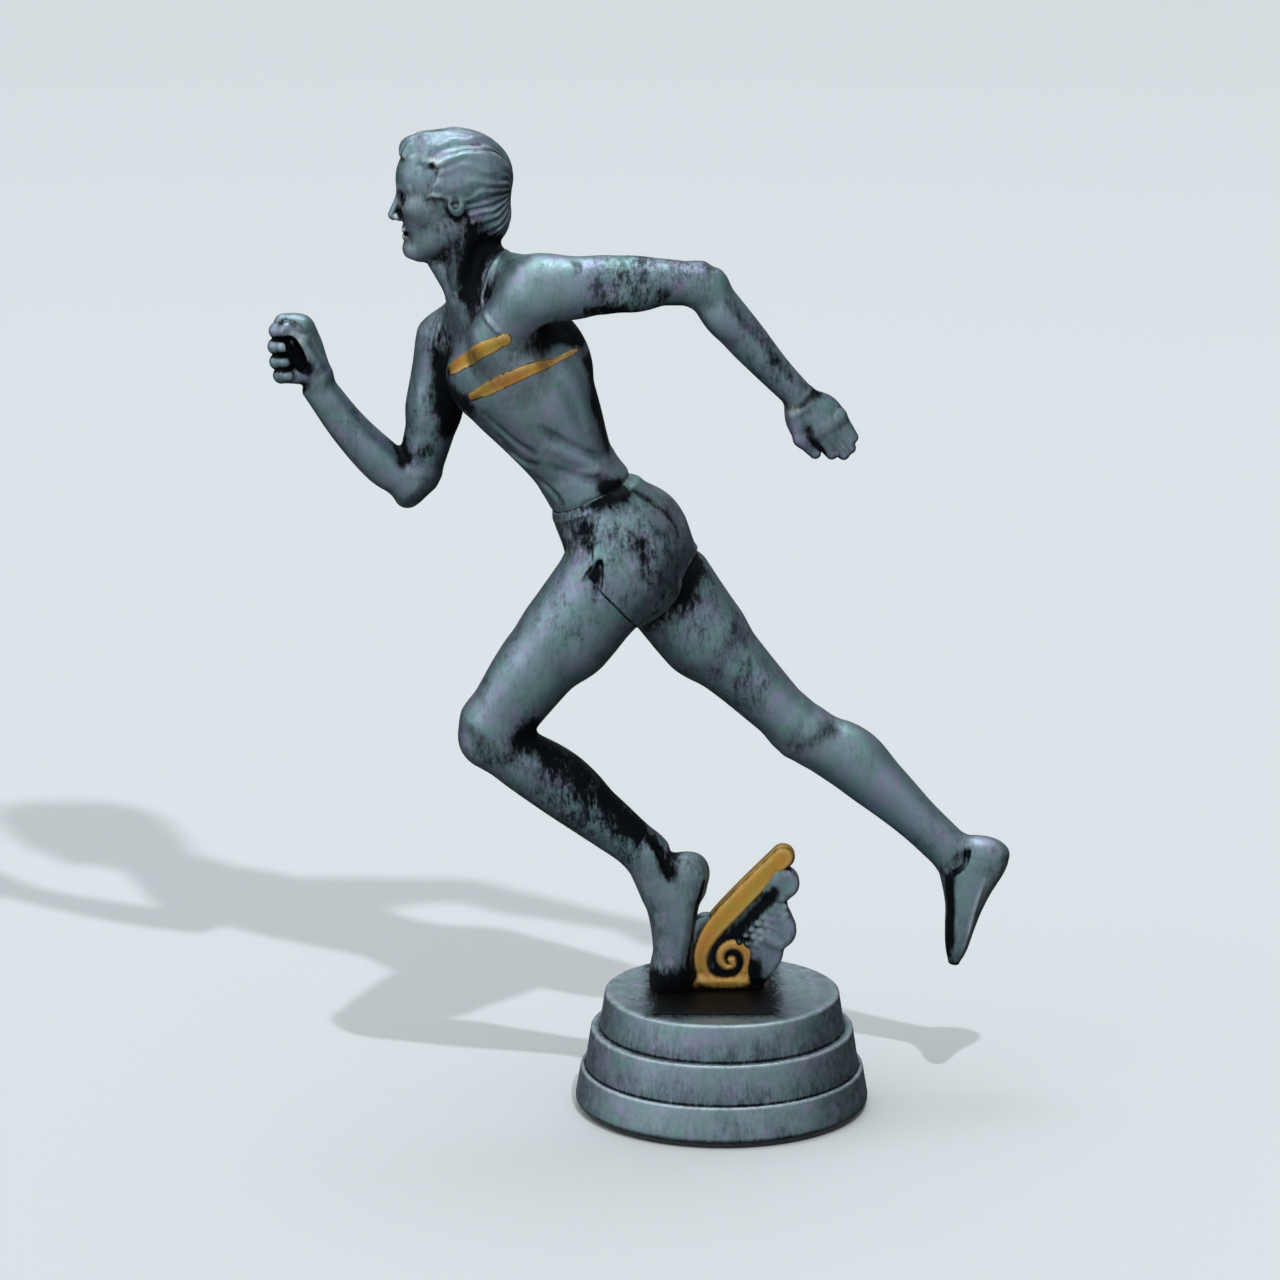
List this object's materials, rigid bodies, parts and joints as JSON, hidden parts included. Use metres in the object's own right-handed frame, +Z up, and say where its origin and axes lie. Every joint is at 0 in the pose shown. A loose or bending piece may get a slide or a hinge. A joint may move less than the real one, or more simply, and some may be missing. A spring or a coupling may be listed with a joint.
{
  "type": "figure trophy",
  "caption": "Small antiqued-silver trophy of a sprinting runner on a stepped round plinth, with a feathered wing and gold scroll beside the standing foot.",
  "frame": {"origin": "centre of the felt pad's underside, where the plinth's axis meets the table", "axes": "+Z up along the plinth's axis; the runner heads towards -X and the runner's left side faces -Y"},
  "size_m": [0.0992, 0.04, 0.1343],
  "materials": {
    "antique_silver": "antiqued pewter silver, dark wash in the recesses, rubbed bright on the edges",
    "gold_accent": "old gold paint with a brown wash",
    "steel_hardware": "zinc plated",
    "ballast_iron": "as cast",
    "felt": "dark green-black felt"
  },
  "bodies": {
    "root": {"plinth": "antique_silver", "foot_plate": "antique_silver", "head": "antique_silver", "torso": "antique_silver", "shorts": "antique_silver", "left_arm": "antique_silver", "right_arm": "antique_silver", "left_leg": "antique_silver", "right_leg": "antique_silver", "left_shoe": "antique_silver", "right_shoe": "antique_silver", "wing": "antique_silver", "scroll": "gold_accent", "plate_screws": "steel_hardware", "screw_washers": "steel_hardware", "mounting_nut": "steel_hardware", "ballast_ring": "ballast_iron", "felt_pad": "felt", "neck_dowel": "steel_hardware", "shoulder_dowels": "steel_hardware", "waist_dowel": "steel_hardware", "hip_dowels": "steel_hardware", "ankle_dowels": "steel_hardware", "foot_dowel": "steel_hardware", "wing_pins": "steel_hardware"}
  },
  "joints": []
}
